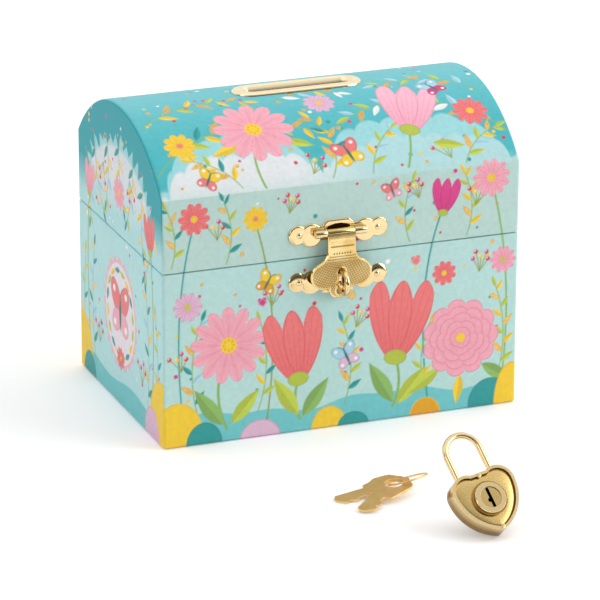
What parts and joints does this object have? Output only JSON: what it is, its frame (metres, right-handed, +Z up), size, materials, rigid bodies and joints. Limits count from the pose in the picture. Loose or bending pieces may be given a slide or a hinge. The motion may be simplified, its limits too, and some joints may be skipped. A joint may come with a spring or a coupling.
{
  "type": "keepsake box",
  "caption": "Dome-lidded paper-covered box with a brass coin slot, a hinged lid, a hasp with staple ring, a heart padlock with plug and shackle, and keys on a wire ring.",
  "frame": {"origin": "centre of the case's underside, on the table", "axes": "+Z up, front (the hasp side) towards -Y, +X to the right seen from the front"},
  "size_m": [0.16, 0.2534, 0.1361],
  "materials": {
    "board": "matte greyboard",
    "printed_paper": "satin printed paper with foil accents",
    "printed_dome_paper": "satin printed paper with foil accents",
    "lining_paper": "matte lining paper",
    "foot_paper": "matte paper",
    "polished_brass": "polished",
    "satin_brass": "satin",
    "steel": "plain"
  },
  "bodies": {
    "case": {"case_front_board": "board", "case_back_board": "board", "case_left_board": "board", "case_right_board": "board", "case_floor_board": "board", "case_wrap": "printed_paper", "case_lining": "lining_paper", "case_foot_sheet": "foot_paper", "staple_plate": "polished_brass", "staple_ring": "polished_brass", "staple_nails": "polished_brass", "hinge_case_leaf_left": "polished_brass", "hinge_case_leaf_right": "polished_brass", "hinge_pins": "polished_brass", "hinge_case_nails": "polished_brass"},
    "lid": {"lid_front_board": "board", "lid_back_board": "board", "lid_left_board": "board", "lid_right_board": "board", "lid_dome_board": "board", "lid_wrap": "printed_dome_paper", "lid_left_paper": "printed_paper", "lid_right_paper": "printed_paper", "lid_lining": "lining_paper", "coin_slot_trim": "polished_brass", "coin_slot_clip": "steel", "hasp_plate": "polished_brass", "hasp_pin": "polished_brass", "hasp_nails": "polished_brass", "hinge_lid_leaf_left": "polished_brass", "hinge_lid_leaf_right": "polished_brass", "hinge_lid_nails": "polished_brass"},
    "hasp_leaf": {"hasp_leaf": "polished_brass"},
    "padlock": {"padlock_body": "polished_brass", "padlock_face_plate": "polished_brass", "padlock_collar": "polished_brass", "padlock_spring": "steel"},
    "padlock_plug": {"padlock_plug": "polished_brass"},
    "padlock_latch": {"padlock_latch": "steel"},
    "padlock_shackle": {"padlock_shackle": "polished_brass"},
    "key_ring": {"key_ring": "steel"},
    "key_a": {"key_a": "satin_brass"},
    "key_b": {"key_b": "satin_brass"}
  },
  "joints": [
    {"name": "lid_open", "type": "hinge", "parent": "case", "child": "lid", "pos_m": [0, 0.05705, 0.0772], "axis": [-1, 0, 0], "range_deg": [0, 105]},
    {"name": "hasp_swing", "type": "hinge", "parent": "lid", "child": "hasp_leaf", "pos_m": [-0.0024, -0.0578, 0.088], "axis": [-1, 0, 0], "range_deg": [0, 170]},
    {"name": "padlock_pick_up", "type": "slide", "parent": "case", "child": "padlock", "axis": [0, 0, 1], "range_m": [0, 0.06]},
    {"name": "plug_turn", "type": "hinge", "parent": "padlock", "child": "padlock_plug", "pos_m": [0.0112, -0.17935, 0.01006], "axis": [0, 0.7431, -0.6691], "range_deg": [0, 90]},
    {"name": "latch_slide", "type": "slide", "parent": "padlock", "child": "padlock_latch", "axis": [-0.9806, -0.1311, -0.1456], "range_m": [0, 0.0024]},
    {"name": "shackle_lift", "type": "slide", "parent": "padlock", "child": "padlock_shackle", "axis": [-0.1959, 0.6562, 0.7287], "range_m": [0, 0.0062]},
    {"name": "keys_pick_up", "type": "slide", "parent": "case", "child": "key_ring", "axis": [0, 0, 1], "range_m": [0, 0.06]},
    {"name": "key_a_swing", "type": "hinge", "parent": "key_ring", "child": "key_a", "pos_m": [-0.0078, -0.1318, 0.00354], "axis": [-0.1012, -0.0436, 0.9939], "range_deg": [-30, 20]},
    {"name": "key_b_swing", "type": "hinge", "parent": "key_ring", "child": "key_b", "pos_m": [-0.0078, -0.1318, 0.00354], "axis": [-0.1012, -0.0436, 0.9939], "range_deg": [-20, 30]}
  ],
  "couplings": [
    {"joint": "plug_turn", "follows": "shackle_lift", "rad_per_m": 253.35},
    {"joint": "latch_slide", "follows": "shackle_lift", "ratio": 0.3871}
  ]
}
